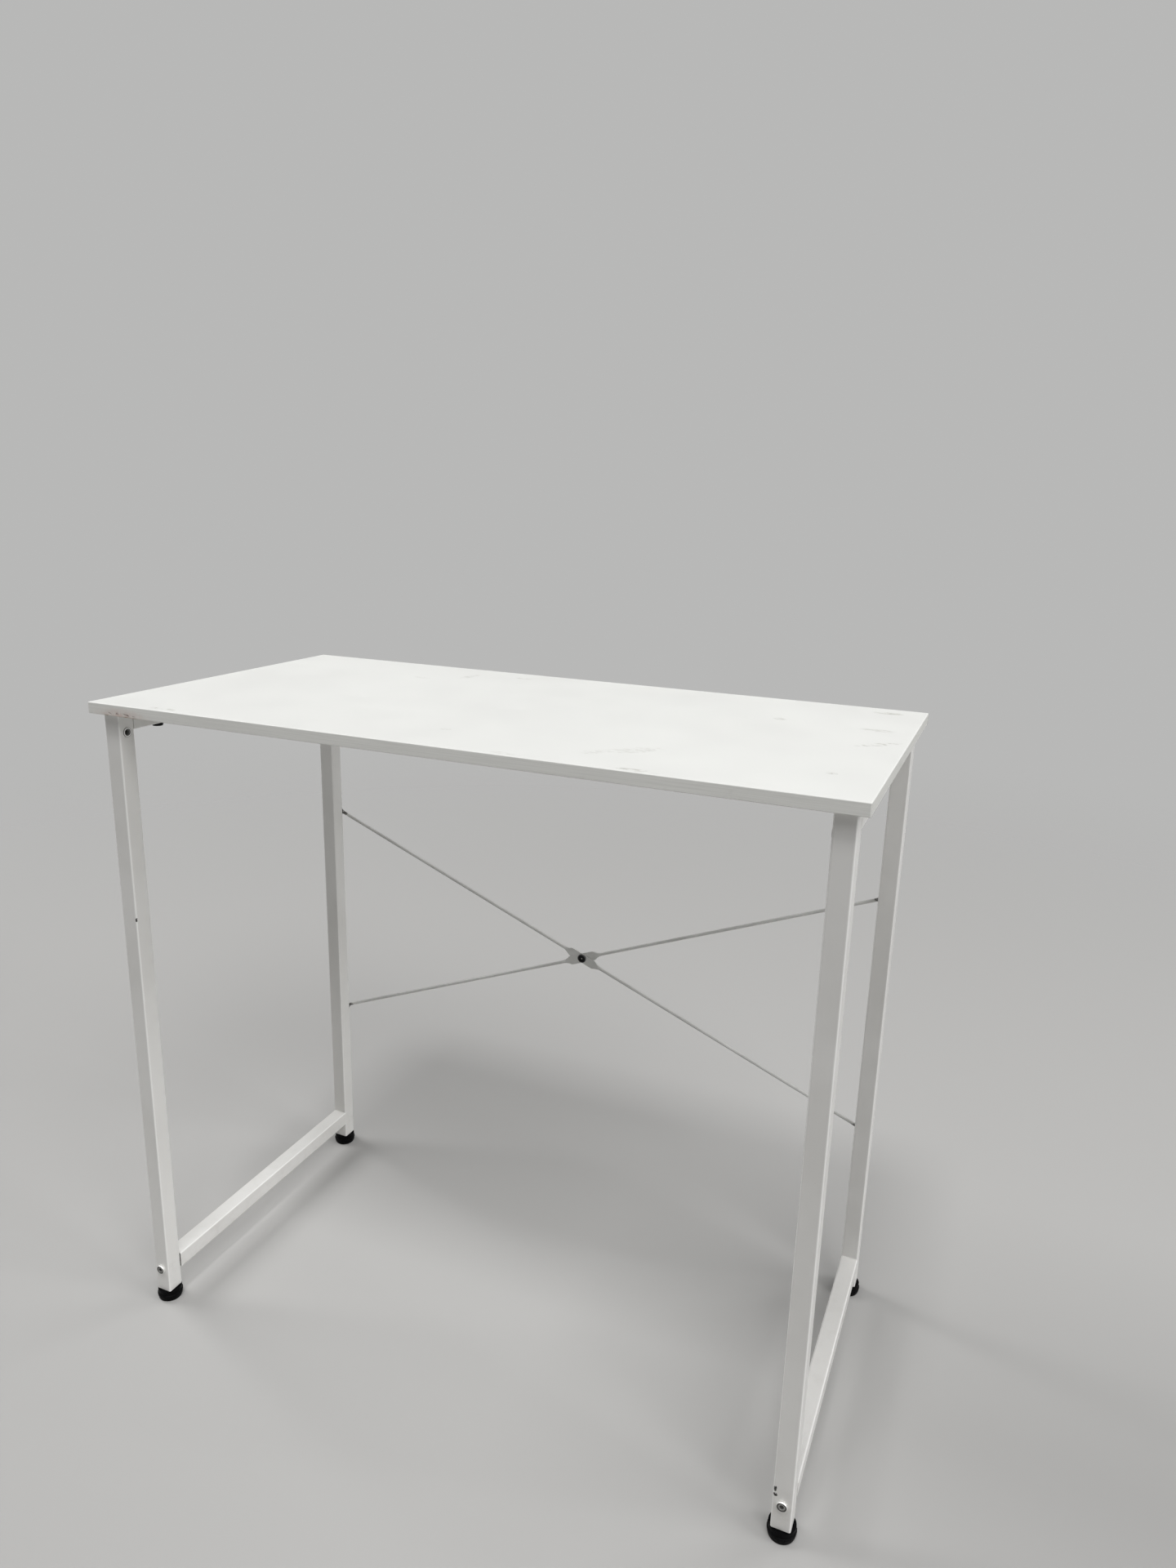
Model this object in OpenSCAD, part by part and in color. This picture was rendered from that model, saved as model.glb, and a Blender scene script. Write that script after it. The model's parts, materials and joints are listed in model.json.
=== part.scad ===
// Small writing desk: a coated board on two square-tube side frames,
// tied together at the back by a crossed pair of rods.
// Millimetres. +X right, +Y towards the back, +Z up.
// The origin is on the floor, under the middle of the board.

/* [Tabletop] */
// Width of the board, left to right
top_w = 800; // [600:10:1400]
// Depth of the board, front to back
top_d = 400; // [300:10:800]
// Thickness of the board
top_t = 12; // [12:1:30]
// Height of the work surface above the floor
desk_h = 740; // [650:5:900]
// Thickness of the strip glued round the board's edge
edge_band_t = 1; // [0.5:0.1:3]
// How far the board runs past the side frames
side_overhang = 10; // [2:1:60]
// How far the board runs past the front legs
front_overhang = 10; // [6:1:60]
// How far the board runs past the rear legs
rear_overhang = 10; // [10:1:60]

/* [Frame tubes] */
// Outside size of the square tube
tube_size = 20; // [20:1:40]
// Wall of the square tube
tube_wall = 1.2; // [0.8:0.1:1.6]
// Outside radius of the tube's corners
tube_corner_r = 2; // [1.8:0.1:3]
// From the bottom end of a leg up to the lower rail
lower_rail_gap = 20; // [18:1:150]
// Gap left at the bolted end of a rail
joint_gap = 1.2; // [0.2:0.1:1.5]

/* [Frame bolts] */
// Thread diameter of the bolts that join the side frames
bolt_d = 6; // [5:0.5:8]
// Diameter of their flat heads
bolt_head_d = 11; // [11:0.5:18]
// Height of those heads
bolt_head_h = 3; // [2.5:0.25:5]
// Thickness of the threaded plate inside a rail's end
nut_plate_t = 8; // [5:0.5:15]
// How far a bolt sticks out behind its threaded plate
bolt_tip = 2; // [0.5:0.5:8]

/* [Rear brace] */
// Diameter of the brace rods
brace_rod_d = 4; // [4:0.25:7]
// Height of the crossing above the floor
brace_centre_h = 372; // [320:1:420]
// Height from the lower to the upper end screws
brace_rise = 304; // [160:2:400]
// Thickness of the rods where they are pressed flat
brace_leaf_t = 1.2; // [1:0.1:2]
// Width of the rods where they are pressed flat
brace_leaf_w = 12; // [10:0.5:14]
// Length of the flat at the crossing
brace_leaf_l = 44; // [36:1:60]
// From an end screw to where the flat end begins
brace_end_l = 9; // [9:0.5:20]
// Length over which a rod turns from round to flat near the crossing
brace_taper = 8; // [4:0.5:12]
// Length over which a rod turns from round to flat at its ends
brace_end_taper = 4.5; // [4:0.5:12]
// Thread diameter of the brace's screws
brace_screw_d = 6; // [4:0.5:6]
// Head diameter of the brace's screws
brace_head_d = 11.5; // [10:0.5:14]
// Head height of the brace's screws
brace_head_h = 3; // [2:0.25:4]
// Across-flats size of the nut behind the crossing
brace_nut_af = 10; // [8:0.5:11]
// Thickness of that nut
brace_nut_t = 3.2; // [2:0.1:3.5]

/* [Threaded inserts] */
// Thread diameter of the open inserts in the front legs
insert_thread_d = 6; // [4:0.5:6]
// Diameter of an insert where it passes through the tube's wall
insert_neck_d = 9; // [8.5:0.25:10]
// Diameter of an insert's outer flange
insert_flange_d = 10.5; // [10.5:0.5:15]
// Thickness of that flange
insert_flange_t = 0.8; // [0.5:0.1:1.5]
// Length of an insert inside the tube
insert_l = 11; // [9:0.5:12]
// From the top end of a leg down to its open insert
insert_drop = 21; // [12:1:80]

/* [Tabletop screws] */
// Diameter of the wood screws
top_screw_d = 4; // [3:0.25:6]
// Diameter of their wide heads
top_screw_head_d = 12.5; // [9:0.5:14]
// Height of those heads
top_screw_head_h = 4.2; // [2:0.2:5]
// How deep a wood screw bites into the board
top_screw_bite = 9; // [6:0.5:10]
// From a leg's side to the nearest wood screw
top_screw_inset = 43; // [20:1:90]

/* [Levelling feet] */
// Widest diameter of a foot pad
pad_d = 29; // [26:0.5:45]
// Height of a foot pad
pad_h = 13; // [11:0.2:25]
// Diameter of a pad's flat face on the floor
pad_base_d = 26; // [22:0.5:26]
// Thread diameter of a foot's stud
stud_d = 8; // [6:0.5:8]
// How far a foot screws out
foot_travel = 10; // [4:1:12]
// Length of a foot plug inside its leg
plug_l = 22; // [19:1:24]
// Thickness of the plug's collar under the tube's end
plug_collar_t = 0.8; // [0.8:0.1:3]
// Across-flats size of the nut moulded into a foot plug
plug_nut_af = 13; // [12:0.5:13]
// Thickness of that nut
plug_nut_t = 6.5; // [4:0.5:7]

/* [Clearances] */
// Radial gap round a screw that only passes through
hole_gap = 0.2; // [0.1:0.05:0.4]
// Radial gap between a thread and its nut
thread_gap = 0.05; // [0.02:0.01:0.1]
// Gap round a plate or plug pushed into a tube
plug_gap = 0.1; // [0.05:0.05:0.3]
// Gap between a pad and its plug when fully screwed in
pad_gap = 0.2; // [0.1:0.05:0.5]

/* [Hidden] */

// Smoothness of round parts, and of the round ends inside a hull
round_fn = 64;
hull_fn = 32;
hex_fn = 6;
// Overrun that keeps cutters clear of the faces they cut
cut = 1;

LEFT = -1;
RIGHT = 1;
SIDES = [LEFT, RIGHT];
FRONT = -1;
REAR = 1;

// Heights, from the floor up
leg_end_z = pad_h + pad_gap + plug_collar_t;
underside_z = desk_h - top_t;
leg_l = underside_z - leg_end_z;
upper_rail_z = underside_z - tube_size / 2;
lower_rail_z = leg_end_z + lower_rail_gap + tube_size / 2;

// Leg axes, and the faces of the legs
leg_x = top_w / 2 - side_overhang - tube_size / 2;
front_leg_y = -top_d / 2 + front_overhang + tube_size / 2;
rear_leg_y = top_d / 2 - rear_overhang - tube_size / 2;
front_face_y = front_leg_y - tube_size / 2;
rear_face_y = rear_leg_y + tube_size / 2;
rail_front_y = front_leg_y + tube_size / 2;
rail_rear_y = rear_leg_y - tube_size / 2;

// Inside of the tubes
bore_size = tube_size - 2 * tube_wall;
bore_corner_r = tube_corner_r - tube_wall;

// Rear brace: both rods lie in one plane behind the rear legs
brace_run = 2 * leg_x;
brace_l = norm([brace_run, brace_rise]);
brace_angle = atan2(brace_rise, brace_run);
brace_face_y = rear_face_y + insert_flange_t;
brace_y = brace_face_y + brace_rod_d / 2;
brace_taper_lap = 3;
brace_flat_share = 0.75;
brace_bolt_tip = 0.8;

// Inserts: the collar that grips behind the wall, and the mouth's bevel
insert_collar_w = 0.75;
insert_collar_d = insert_neck_d + 2 * insert_collar_w;
insert_collar_l = 3;
insert_bevel = 0.75;

// Round heads: straight rim, flat face and driver socket
head_rim_h = 1.2;
bolt_rim_h = 2;
head_face_share = 0.88;
bolt_dish_share = 0.62;
bolt_dish_h = 0.4;
socket_share = 0.6;
socket_bevel = 0.6;
frame_socket_af = 4;
brace_socket_af = 4;
cross_slot_l = 4.5;
cross_slot_w = 1;
cross_slot_h = 1;

// Feet: the stud's round head is held in a pocket in the pad
stud_head_d = 2 * stud_d;
stud_head_t = 3;
stud_head_z = 3.5;
plug_nut_rise = 3;
plug_nut_z = leg_end_z + plug_nut_rise;
stud_spare = 5;
stud_top_z = plug_nut_z + plug_nut_t + foot_travel + stud_spare;
pad_bevel_h = 1.2;
pad_ridge_h = 1.4;
pad_shoulder = 0.9;
pad_flutes = 16;
pad_flute_d = 3;
pad_flute_depth = 0.4;

// ---- Shared shapes ----

// Square with round corners, centred
module rounded_square(size, r) {
    square([size - 2 * r, size], center = true);
    square([size, size - 2 * r], center = true);
    for (x = [-1, 1], y = [-1, 1])
        translate([x, y] * (size / 2 - r)) circle(r = r, $fn = round_fn);
}

// Cross-section of the square tube
module tube_profile() {
    difference() {
        rounded_square(tube_size, tube_corner_r);
        rounded_square(bore_size, bore_corner_r);
    }
}

// Cylinder along +Y from the origin
module y_cylinder(d, l) {
    rotate([-90, 0, 0]) cylinder(d = d, h = l, $fn = round_fn);
}

// Six-sided prism along +Z, sized across its flats
module hex_prism(af, h) {
    cylinder(d = af / cos(30), h = h, $fn = hex_fn);
}

// Round head on Z = 0: a straight rim with a low dome above it
module domed_head(head_d, head_h) {
    dome_h = head_h - head_rim_h;
    dome_r = (pow(head_d / 2, 2) + pow(dome_h, 2)) / (2 * dome_h);
    cylinder(d = head_d, h = head_rim_h, $fn = round_fn);
    intersection() {
        cylinder(d = head_d, h = head_h, $fn = round_fn);
        translate([0, 0, head_h - dome_r]) sphere(r = dome_r, $fn = round_fn);
    }
}

// Round head on Z = 0: a straight rim, then a slope up to a flat face
module flat_head(head_d, head_h, rim_h) {
    cylinder(d = head_d, h = rim_h, $fn = round_fn);
    translate([0, 0, rim_h])
        cylinder(d1 = head_d, d2 = head_face_share * head_d, h = head_h - rim_h, $fn = round_fn);
}

// Screw with a bevelled hexagon socket: the child is its head above Z = 0, the shank is below
module socket_screw(d, l, head_h, socket_af) {
    difference() {
        union() {
            translate([0, 0, -l]) cylinder(d = d, h = l + cut, $fn = round_fn);
            children();
        }
        translate([0, 0, head_h * (1 - socket_share)]) hex_prism(socket_af, head_h);
        translate([0, 0, head_h - socket_bevel])
            cylinder(d1 = socket_af, d2 = socket_af + 4 * socket_bevel, h = 2 * socket_bevel,
                $fn = round_fn);
    }
}

// Blind-rivet nut: flange on Z = 0 upwards, body below, bore right through
module rivet_nut(thread_d) {
    thread_bore = thread_d + 2 * thread_gap;
    difference() {
        union() {
            cylinder(d = insert_flange_d, h = insert_flange_t, $fn = round_fn);
            translate([0, 0, -insert_l])
                cylinder(d = insert_neck_d, h = insert_l + cut / 2, $fn = round_fn);
            translate([0, 0, -tube_wall - insert_collar_l])
                cylinder(d = insert_collar_d, h = insert_collar_l, $fn = round_fn);
        }
        translate([0, 0, -insert_l - cut])
            cylinder(d = thread_bore, h = insert_l + 2 * cut, $fn = round_fn);
        translate([0, 0, insert_flange_t - insert_bevel])
            cylinder(d1 = thread_bore, d2 = thread_bore + 4 * insert_bevel, h = 2 * insert_bevel,
                $fn = round_fn);
    }
}

// ---- Board ----

module tabletop_panel() {
    core = [top_w - 2 * edge_band_t, top_d - 2 * edge_band_t, top_t];
    pilot_d = top_screw_d + 2 * thread_gap;
    color("white") difference() {
        translate([-core.x / 2, -core.y / 2, underside_z]) cube(core);
        for (side = SIDES, y = top_screw_ys())
            translate([side * leg_x, y, underside_z - cut])
                cylinder(d = pilot_d, h = cut + top_screw_bite + thread_gap, $fn = round_fn);
    }
}

// Strip along the front or the back of the board
module long_edge_band(end) {
    y = end * (top_d - edge_band_t) / 2;
    color("gainsboro") translate([0, y, underside_z + top_t / 2])
        cube([top_w, edge_band_t, top_t], center = true);
}

// Strip along the left or the right end, between the long strips
module short_edge_band(side) {
    x = side * (top_w - edge_band_t) / 2;
    color("gainsboro") translate([x, 0, underside_z + top_t / 2])
        cube([edge_band_t, top_d - 2 * edge_band_t, top_t], center = true);
}

// Places of the wood screws along a rail
function top_screw_ys() = [rail_front_y + top_screw_inset, rail_rear_y - top_screw_inset];

// Wide-headed wood screw with a cross slot: head above Z = 0, shank below
module top_screw() {
    shank_l = tube_size + top_screw_bite;
    difference() {
        union() {
            translate([0, 0, -shank_l]) cylinder(d = top_screw_d, h = shank_l + cut, $fn = round_fn);
            flat_head(top_screw_head_d, top_screw_head_h, head_rim_h);
        }
        for (turn = [0, 90])
            rotate([0, 0, turn]) translate([0, 0, top_screw_head_h])
                cube([cross_slot_l, cross_slot_w, 2 * cross_slot_h], center = true);
    }
}

// Wood screws under one upper rail, heads down
module tabletop_screws(side) {
    color("black") for (y = top_screw_ys())
        translate([side * leg_x, y, underside_z - tube_size]) rotate([180, 0, 0]) top_screw();
}

// ---- Side frames ----

// Plain leg tube with its foot end at leg_end_z
module leg_tube(side, y) {
    translate([side * leg_x, y, leg_end_z]) linear_extrude(leg_l) tube_profile();
}

// Hole for a frame bolt, through both walls of a leg
module frame_bolt_hole(side, y, z) {
    translate([side * leg_x, y - tube_size / 2 - cut, z])
        y_cylinder(bolt_d + 2 * hole_gap, tube_size + 2 * cut);
}

module front_leg(side) {
    color("white") difference() {
        leg_tube(side, front_leg_y);
        frame_bolt_hole(side, front_leg_y, lower_rail_z);
        translate([side * leg_x, front_leg_y, underside_z - insert_drop]) rotate([0, -side * 90, 0])
            cylinder(d = insert_neck_d, h = tube_size, $fn = round_fn);
    }
}

module rear_leg(side) {
    color("white") difference() {
        leg_tube(side, rear_leg_y);
        frame_bolt_hole(side, rear_leg_y, upper_rail_z);
        for (end = [-1, 1])
            translate([side * leg_x, rear_leg_y, brace_end_z(end)])
                y_cylinder(insert_neck_d, tube_size);
    }
}

// Rail tube along +Y between two places
module rail_tube(side, z, from_y, to_y) {
    translate([side * leg_x, from_y, z]) rotate([-90, 0, 0])
        linear_extrude(to_y - from_y) tube_profile();
}

// Upper rail: welded to the front leg, bolted to the rear leg
module upper_rail(side) {
    color("white") difference() {
        rail_tube(side, upper_rail_z, rail_front_y, rail_rear_y - joint_gap);
        for (y = top_screw_ys())
            translate([side * leg_x, y, underside_z - tube_size - cut])
                cylinder(d = top_screw_d + 2 * hole_gap, h = tube_size + 2 * cut, $fn = round_fn);
    }
}

// Lower rail: bolted to the front leg, welded to the rear leg
module lower_rail(side) {
    color("white") rail_tube(side, lower_rail_z, rail_front_y + joint_gap, rail_rear_y);
}

// Threaded plate in the bolted end of a rail: it meets the leg at y and reaches inwards
module nut_plate(side, z, y, into) {
    color("black") translate([side * leg_x, y, z]) rotate([-90 * into, 0, 0]) difference() {
        linear_extrude(nut_plate_t) rounded_square(bore_size - 2 * plug_gap, bore_corner_r);
        translate([0, 0, -cut])
            cylinder(d = bolt_d + 2 * thread_gap, h = nut_plate_t + 2 * cut, $fn = round_fn);
    }
}

// Flat head of a frame bolt, with a shallow round dish in its face
module dished_head() {
    difference() {
        flat_head(bolt_head_d, bolt_head_h, bolt_rim_h);
        translate([0, 0, bolt_head_h - bolt_dish_h])
            cylinder(d = bolt_dish_share * bolt_head_d, h = bolt_head_h, $fn = round_fn);
    }
}

// Pair of bolts, one for each side frame, through the legs into the rails
module frame_bolts(face_y, z, outward) {
    shank_l = tube_size + nut_plate_t + bolt_tip;
    color("silver") for (side = SIDES)
        translate([side * leg_x, face_y, z]) rotate([-90 * outward, 0, 0])
            socket_screw(bolt_d, shank_l, bolt_head_h, frame_socket_af) dished_head();
}

module accessory_insert(side) {
    inner_x = side * (leg_x - tube_size / 2);
    color("silver") translate([inner_x, front_leg_y, underside_z - insert_drop])
        rotate([0, -side * 90, 0]) rivet_nut(insert_thread_d);
}

// ---- Rear brace ----

// Height of the upper (+1) or lower (-1) end screws
function brace_end_z(end) = brace_centre_h + end * brace_rise / 2;

// Flat of a rod in its own frame: a strip with round ends, from x0 to x1
module leaf(x0, x1, y0) {
    r = brace_leaf_w / 2;
    translate([0, y0 + brace_leaf_t, 0]) rotate([90, 0, 0]) linear_extrude(brace_leaf_t) {
        translate([x0 + r, -r]) square([x1 - x0 - 2 * r, 2 * r]);
        for (x = [x0 + r, x1 - r]) translate([x, 0]) circle(r = r, $fn = round_fn);
    }
}

// Blend from the flat at x0 to the round rod at x1
module taper(x0, x1, y0) {
    slice = 0.2;
    flat_w = brace_flat_share * brace_leaf_w;
    round_x = x1 > x0 ? x1 - slice : x1;
    hull() {
        translate([x0 - slice / 2, y0, -flat_w / 2]) cube([slice, brace_leaf_t, flat_w]);
        translate([round_x, 0, 0]) rotate([0, 90, 0])
            cylinder(d = brace_rod_d, h = slice, $fn = hull_fn);
    }
}

// Half of a rod, from the crossing out to one end screw, along +X
module half_rod(leaf_y) {
    end_x = brace_l / 2;
    end_y = -brace_rod_d / 2;
    rod_x0 = brace_leaf_l / 2 + brace_taper - brace_taper_lap;
    rod_x1 = end_x - brace_end_l - brace_end_taper + brace_taper_lap;
    translate([rod_x0, 0, 0]) rotate([0, 90, 0])
        cylinder(d = brace_rod_d, h = rod_x1 - rod_x0, $fn = hull_fn);
    taper(brace_leaf_l / 2 - brace_taper_lap, rod_x0, leaf_y);
    taper(end_x - brace_end_l + brace_taper_lap, rod_x1, end_y);
    leaf(end_x - brace_end_l, end_x + brace_leaf_w / 2, end_y);
}

// Whole rod: lean +1 rises to the right, -1 rises to the left
module brace_rod(lean, leaf_y) {
    screw_hole_d = brace_screw_d + 2 * hole_gap;
    color("white") translate([0, brace_y, brace_centre_h]) rotate([0, -lean * brace_angle, 0])
        difference() {
            union() {
                leaf(-brace_leaf_l / 2, brace_leaf_l / 2, leaf_y);
                half_rod(leaf_y);
                mirror([1, 0, 0]) half_rod(leaf_y);
            }
            for (x = [-brace_l / 2, 0, brace_l / 2])
                translate([x, -brace_rod_d, 0]) y_cylinder(screw_hole_d, 2 * brace_rod_d);
        }
}

module brace_centre_bolt() {
    grip = 2 * brace_leaf_t + brace_nut_t + brace_bolt_tip;
    color("black") translate([0, brace_y - brace_leaf_t, brace_centre_h]) rotate([90, 0, 0])
        socket_screw(brace_screw_d, grip, brace_head_h, brace_socket_af)
            domed_head(brace_head_d, brace_head_h);
}

module brace_centre_nut() {
    color("silver") translate([0, brace_y + brace_leaf_t, brace_centre_h]) rotate([-90, 0, 0])
        difference() {
            hex_prism(brace_nut_af, brace_nut_t);
            translate([0, 0, -cut])
                cylinder(d = brace_screw_d + 2 * thread_gap, h = brace_nut_t + 2 * cut, $fn = round_fn);
        }
}

module brace_end_screws() {
    shank_l = brace_leaf_t + insert_flange_t + insert_l;
    color("black") for (side = SIDES, end = [-1, 1])
        translate([side * leg_x, brace_face_y + brace_leaf_t, brace_end_z(end)]) rotate([-90, 0, 0])
            socket_screw(brace_screw_d, shank_l, brace_head_h, brace_socket_af)
                domed_head(brace_head_d, brace_head_h);
}

module brace_end_inserts() {
    color("silver") for (side = SIDES, end = [-1, 1])
        translate([side * leg_x, rear_face_y, brace_end_z(end)]) rotate([-90, 0, 0])
            rivet_nut(brace_screw_d);
}

// ---- Levelling feet ----

// Plastic plug pushed into a leg's end, with a collar under the tube
module foot_plug(side, y) {
    color([0.08, 0.08, 0.08]) translate([side * leg_x, y, leg_end_z]) difference() {
        union() {
            linear_extrude(plug_l) rounded_square(bore_size - 2 * plug_gap, bore_corner_r);
            translate([0, 0, -plug_collar_t]) linear_extrude(plug_collar_t)
                rounded_square(tube_size, tube_corner_r);
        }
        translate([0, 0, -plug_collar_t - cut])
            cylinder(d = stud_d + 2 * hole_gap, h = plug_l + plug_collar_t + 2 * cut, $fn = round_fn);
        translate([0, 0, plug_nut_rise]) hex_prism(plug_nut_af, plug_nut_t);
    }
}

module foot_plug_nuts() {
    color("silver") for (side = SIDES, y = [front_leg_y, rear_leg_y])
        translate([side * leg_x, y, plug_nut_z]) difference() {
            hex_prism(plug_nut_af, plug_nut_t);
            translate([0, 0, -cut])
                cylinder(d = stud_d + 2 * thread_gap, h = plug_nut_t + 2 * cut, $fn = round_fn);
        }
}

module foot_stud(side, y) {
    color("silver") translate([side * leg_x, y, stud_head_z]) {
        cylinder(d = stud_head_d, h = stud_head_t, $fn = round_fn);
        cylinder(d = stud_d, h = stud_top_z - stud_head_z, $fn = round_fn);
    }
}

// Half outline of a pad: bevelled base, flared skirt, ridge, drawn-in top
module pad_outline() {
    r = pad_d / 2;
    ridge_z = pad_h / 2;
    polygon([
        [0, 0],
        [pad_base_d / 2, 0],
        [r - pad_shoulder, pad_bevel_h],
        [r, ridge_z - pad_ridge_h / 2],
        [r, ridge_z + pad_ridge_h / 2],
        [r - pad_shoulder, ridge_z + pad_ridge_h],
        [r - pad_shoulder, pad_h],
        [0, pad_h]
    ]);
}

// Ring of upright finger grooves round the ridge of a pad
module pad_grip() {
    for (i = [0:pad_flutes - 1])
        rotate([0, 0, i * 360 / pad_flutes])
            translate([(pad_d + pad_flute_d) / 2 - pad_flute_depth, 0, pad_bevel_h])
                cylinder(d = pad_flute_d, h = pad_h, $fn = hull_fn);
}

module foot_pad(side, y) {
    pocket_d = stud_head_d + 2 * thread_gap;
    color([0.05, 0.05, 0.05]) translate([side * leg_x, y, 0]) difference() {
        rotate_extrude($fn = round_fn) pad_outline();
        pad_grip();
        translate([0, 0, stud_head_z - thread_gap])
            cylinder(d = pocket_d, h = stud_head_t + 2 * thread_gap, $fn = round_fn);
        translate([0, 0, stud_head_z])
            cylinder(d = stud_d + 2 * thread_gap, h = pad_h, $fn = round_fn);
    }
}

tabletop_panel();
long_edge_band(FRONT);  // edge_band_front
long_edge_band(REAR);  // edge_band_rear
short_edge_band(LEFT);  // edge_band_left
short_edge_band(RIGHT);  // edge_band_right
tabletop_screws(LEFT);  // tabletop_screws_left
tabletop_screws(RIGHT);  // tabletop_screws_right
front_leg(LEFT);  // leg_front_left
front_leg(RIGHT);  // leg_front_right
rear_leg(LEFT);  // leg_rear_left
rear_leg(RIGHT);  // leg_rear_right
upper_rail(LEFT);  // upper_rail_left
upper_rail(RIGHT);  // upper_rail_right
lower_rail(LEFT);  // lower_rail_left
lower_rail(RIGHT);  // lower_rail_right
nut_plate(LEFT, upper_rail_z, rail_rear_y, FRONT);  // upper_nut_plate_left
nut_plate(RIGHT, upper_rail_z, rail_rear_y, FRONT);  // upper_nut_plate_right
nut_plate(LEFT, lower_rail_z, rail_front_y, REAR);  // lower_nut_plate_left
nut_plate(RIGHT, lower_rail_z, rail_front_y, REAR);  // lower_nut_plate_right
frame_bolts(rear_face_y, upper_rail_z, REAR);  // upper_frame_bolts
frame_bolts(front_face_y, lower_rail_z, FRONT);  // lower_frame_bolts
accessory_insert(LEFT);  // accessory_insert_left
accessory_insert(RIGHT);  // accessory_insert_right
brace_rod(-1, -brace_leaf_t);  // brace_rod_front
brace_rod(1, 0);  // brace_rod_rear
brace_centre_bolt();
brace_centre_nut();
brace_end_screws();
brace_end_inserts();
foot_plug(LEFT, front_leg_y);  // foot_plug_front_left
foot_plug(RIGHT, front_leg_y);  // foot_plug_front_right
foot_plug(LEFT, rear_leg_y);  // foot_plug_rear_left
foot_plug(RIGHT, rear_leg_y);  // foot_plug_rear_right
foot_plug_nuts();
foot_stud(LEFT, front_leg_y);  // foot_stud_front_left
foot_stud(RIGHT, front_leg_y);  // foot_stud_front_right
foot_stud(LEFT, rear_leg_y);  // foot_stud_rear_left
foot_stud(RIGHT, rear_leg_y);  // foot_stud_rear_right
foot_pad(LEFT, front_leg_y);  // foot_pad_front_left
foot_pad(RIGHT, front_leg_y);  // foot_pad_front_right
foot_pad(LEFT, rear_leg_y);  // foot_pad_rear_left
foot_pad(RIGHT, rear_leg_y);  // foot_pad_rear_right
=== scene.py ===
"""Small white desk: finishes, worn details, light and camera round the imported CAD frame.

Metres, in the CAD's own frame: +X right, +Y towards the back, +Z up, floor at Z = 0.
"""

import json
import math
import random
from typing import NamedTuple

import bmesh
import bpy
from mathutils import Matrix, Vector

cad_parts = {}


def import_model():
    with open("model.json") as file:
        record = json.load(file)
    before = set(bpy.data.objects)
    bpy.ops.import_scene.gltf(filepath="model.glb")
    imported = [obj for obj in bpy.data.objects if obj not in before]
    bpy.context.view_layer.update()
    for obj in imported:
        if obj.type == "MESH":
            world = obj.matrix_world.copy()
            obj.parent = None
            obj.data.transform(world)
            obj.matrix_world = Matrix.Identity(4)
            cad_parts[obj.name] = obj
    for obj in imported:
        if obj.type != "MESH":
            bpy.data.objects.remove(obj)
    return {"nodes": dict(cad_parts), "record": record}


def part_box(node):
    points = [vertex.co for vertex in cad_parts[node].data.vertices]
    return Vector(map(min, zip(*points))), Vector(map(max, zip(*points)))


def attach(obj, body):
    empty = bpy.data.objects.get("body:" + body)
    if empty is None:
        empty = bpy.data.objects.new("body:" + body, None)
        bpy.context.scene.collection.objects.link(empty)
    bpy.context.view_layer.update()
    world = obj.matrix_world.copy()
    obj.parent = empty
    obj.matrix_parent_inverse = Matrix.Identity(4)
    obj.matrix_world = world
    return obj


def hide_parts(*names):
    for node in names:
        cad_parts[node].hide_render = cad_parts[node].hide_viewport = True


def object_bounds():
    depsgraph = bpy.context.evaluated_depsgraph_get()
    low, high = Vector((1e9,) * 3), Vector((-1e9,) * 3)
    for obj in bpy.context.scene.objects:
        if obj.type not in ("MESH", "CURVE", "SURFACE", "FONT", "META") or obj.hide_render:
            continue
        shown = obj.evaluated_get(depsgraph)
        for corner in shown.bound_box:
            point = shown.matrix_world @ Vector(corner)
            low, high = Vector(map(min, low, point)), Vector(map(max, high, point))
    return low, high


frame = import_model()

CAD_LOW, CAD_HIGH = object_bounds()
_, BOARD_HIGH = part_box("tabletop_panel")
FRONT_BAND_LOW, FRONT_BAND_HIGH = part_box("edge_band_front")
BOARD_CORNER_X = FRONT_BAND_LOW.x


# ---- Node trees ----


class Noise(NamedTuple):
    """Noise from 0 to 1, with about one blob every 1 / scale metres."""

    scale: float
    detail: float = 2.0
    roughness: float = 0.5
    # Below 1, this draws the blobs out along that axis
    stretch: tuple = (1, 1, 1)
    shift: tuple = (0, 0, 0)


class Pattern(NamedTuple):
    """Noise as it shows: from low to high, it goes smoothly from the first value to the last."""

    noise: Noise
    low: float
    high: float
    first: float = 0.0
    last: float = 1.0


# The largest part of a normal: on the round between two square faces, and on a flat face
CORNER_NORMALS = (0.80, 0.98)


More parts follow.
